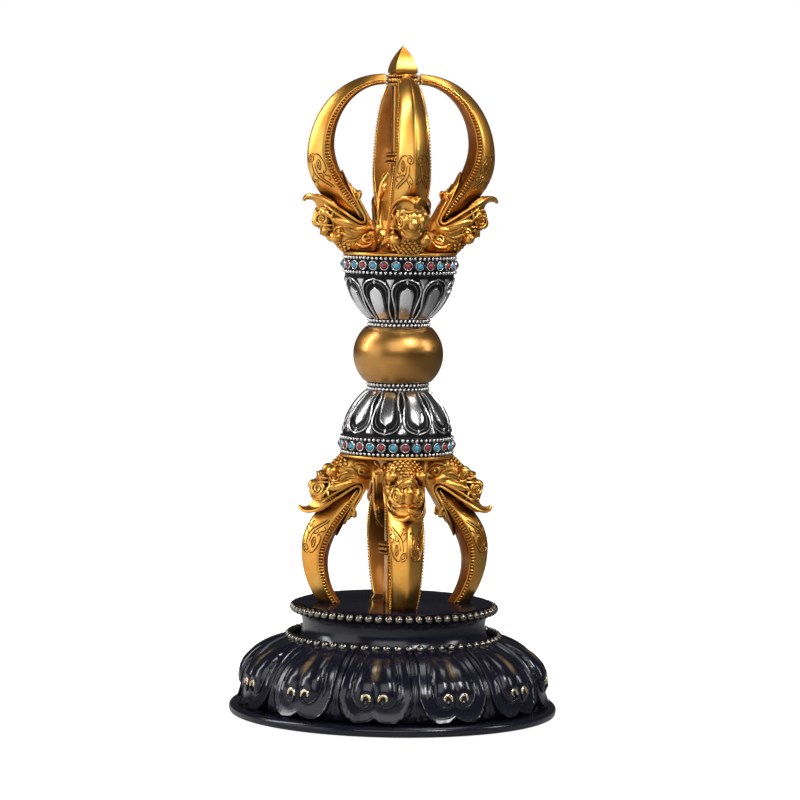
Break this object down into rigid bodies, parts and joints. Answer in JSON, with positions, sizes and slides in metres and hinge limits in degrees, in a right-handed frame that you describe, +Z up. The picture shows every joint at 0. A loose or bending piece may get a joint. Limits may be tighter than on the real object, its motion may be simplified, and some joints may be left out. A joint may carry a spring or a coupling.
{
  "type": "dorje vajra on a lotus stand",
  "caption": "Ritual vajra sceptre with gilt makara prongs, silver lotus cups and stone-set bands, standing upright on a black lotus stand that it turns on and lifts from.",
  "frame": {"origin": "centre of the felt's underside, on the object's upright axis", "axes": "+Z up along the axis, front prong towards -Y, right prong towards +X"},
  "size_m": [0.103, 0.103, 0.2091],
  "materials": {
    "felt": "dark felt",
    "black_lacquer": "glossy blue-black lacquer, rubbed brown-gold on its high places",
    "rubbed_lacquer": "black lacquer rubbed through to gold on each bead",
    "polished_black": "mirror-polished black",
    "turned_brass": "turned brass",
    "steel": "bright steel",
    "brushed_gilt": "satin bronze-gold, brushed round the axis",
    "antique_gilt": "satin antique gold with red-brown recesses",
    "oxidised_silver": "silver plate, black in the recesses and bright on the high places",
    "turquoise": "polished turquoise cabochon",
    "coral": "polished dark coral cabochon"
  },
  "bodies": {
    "stand": {"felt_pad": "felt", "foot_plate": "black_lacquer", "lotus_body": "black_lacquer", "lotus_bead_ring": "rubbed_lacquer", "neck_ring": "black_lacquer", "top_disc": "polished_black", "disc_bead_ring": "rubbed_lacquer", "socket_tube": "turned_brass", "tube_washer": "steel", "tube_nut": "steel"},
    "dowel": {"dowel": "steel"},
    "vajra": {"tie_rod": "steel", "ball": "brushed_gilt", "lower_collar": "oxidised_silver", "lower_collar_beads": "oxidised_silver", "lower_cup": "oxidised_silver", "lower_gem_band": "oxidised_silver", "lower_band_beads": "oxidised_silver", "lower_bezels": "oxidised_silver", "lower_turquoise_stones": "turquoise", "lower_coral_stones": "coral", "lower_crown_plate": "antique_gilt", "lower_centre_prong": "antique_gilt", "lower_prong_front": "antique_gilt", "lower_prong_right": "antique_gilt", "lower_prong_back": "antique_gilt", "lower_prong_left": "antique_gilt", "upper_collar": "oxidised_silver", "upper_collar_beads": "oxidised_silver", "upper_cup": "oxidised_silver", "upper_gem_band": "oxidised_silver", "upper_band_beads": "oxidised_silver", "upper_bezels": "oxidised_silver", "upper_turquoise_stones": "turquoise", "upper_coral_stones": "coral", "upper_crown_plate": "antique_gilt", "upper_centre_prong": "antique_gilt", "upper_prong_front": "antique_gilt", "upper_prong_right": "antique_gilt", "upper_prong_back": "antique_gilt", "upper_prong_left": "antique_gilt", "finial": "antique_gilt"}
  },
  "joints": [
    {"name": "vajra_turn", "type": "hinge", "parent": "stand", "child": "dowel", "pos_m": [0, 0, 0.0351], "axis": [0, 0, 1], "continuous": true},
    {"name": "vajra_lift", "type": "slide", "parent": "dowel", "child": "vajra", "axis": [0, 0, 1], "range_m": [0, 0.03]}
  ]
}
